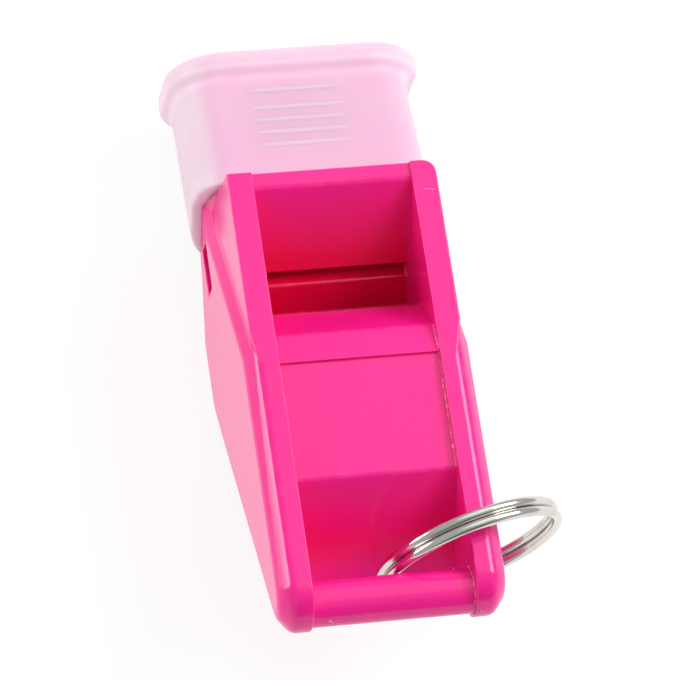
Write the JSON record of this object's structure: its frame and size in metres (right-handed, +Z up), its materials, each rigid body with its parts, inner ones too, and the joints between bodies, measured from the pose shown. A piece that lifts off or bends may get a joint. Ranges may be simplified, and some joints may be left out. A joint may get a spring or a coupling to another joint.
{
  "type": "sports whistle",
  "caption": "Pealess sports whistle with upper and side air chambers, two welded side covers, a lanyard bar, a soft mouth grip and a split ring round its tail.",
  "frame": {"origin": "on the surface, under the middle of the flat keel, in the whistle's middle plane", "axes": "+X from the tail to the mouth, +Y to the whistler's left, +Z up towards the top window"},
  "size_m": [0.0561, 0.0286, 0.022],
  "materials": {
    "body_plastic": "glossy hot pink, moulded",
    "grip_rubber": "soft, translucent, milky white",
    "ring_steel": "bright nickel plating"
  },
  "bodies": {
    "whistle": {"whistle_core": "body_plastic", "left_cover": "body_plastic", "right_cover": "body_plastic"},
    "grip": {"mouth_grip": "grip_rubber"},
    "ring": {"split_ring": "ring_steel"}
  },
  "joints": [
    {"name": "grip_pull", "type": "slide", "parent": "whistle", "child": "grip", "axis": [0.995, 0, -0.0995], "range_m": [0, 0.0165]},
    {"name": "ring_turn", "type": "hinge", "parent": "whistle", "child": "ring", "pos_m": [-0.02325, -0.00826, 0.01347], "axis": [0.9717, 0.2361, 0.0107], "continuous": true}
  ]
}
